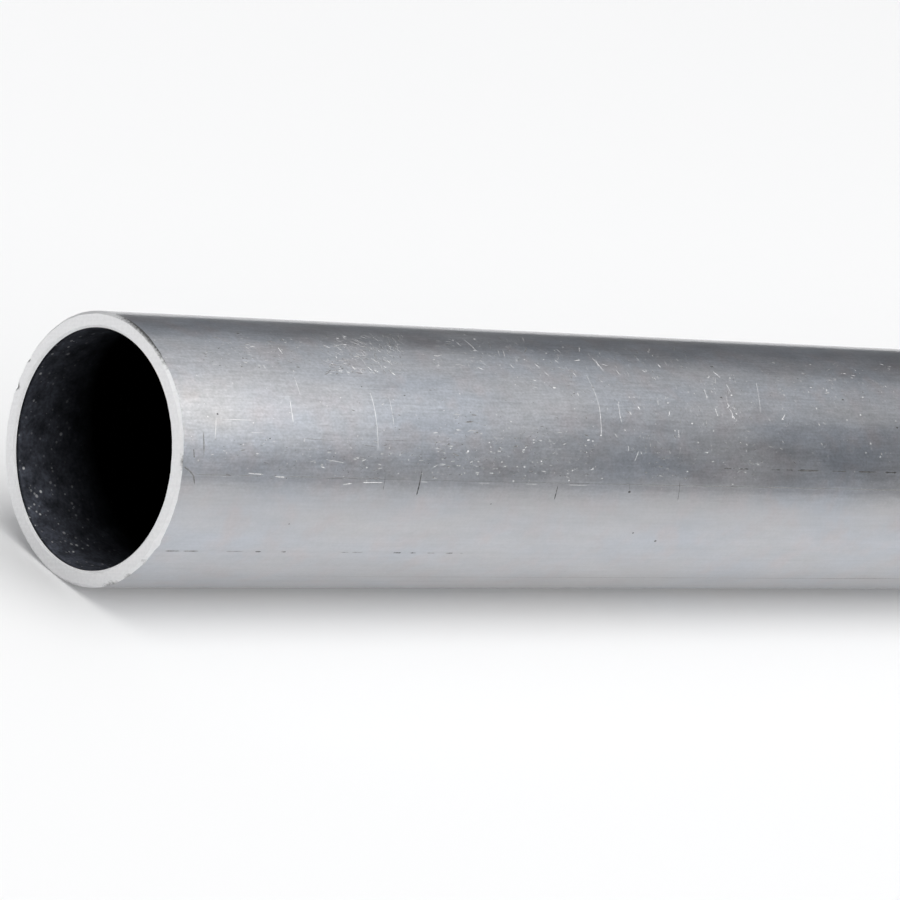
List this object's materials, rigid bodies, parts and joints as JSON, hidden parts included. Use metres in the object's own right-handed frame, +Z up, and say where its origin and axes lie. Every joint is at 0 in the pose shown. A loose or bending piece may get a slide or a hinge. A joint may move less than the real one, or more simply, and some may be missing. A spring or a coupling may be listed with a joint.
{
  "type": "aluminium tube",
  "caption": "Round thin-walled aluminium tube in mill finish with square sawn, deburred ends; stock for frames, rails, posts and sleeves.",
  "frame": {"origin": "middle of the tube's length, on its centreline", "axes": "+X along the tube from the near end to the far end, +Z up, with the tube lying on its side"},
  "size_m": [1, 0.025, 0.025],
  "materials": {
    "mill_aluminium": "satin mill finish with faint lengthwise extrusion lines, handling scratches and pale sawn ends"
  },
  "bodies": {
    "root": {"tube": "mill_aluminium"}
  },
  "joints": []
}
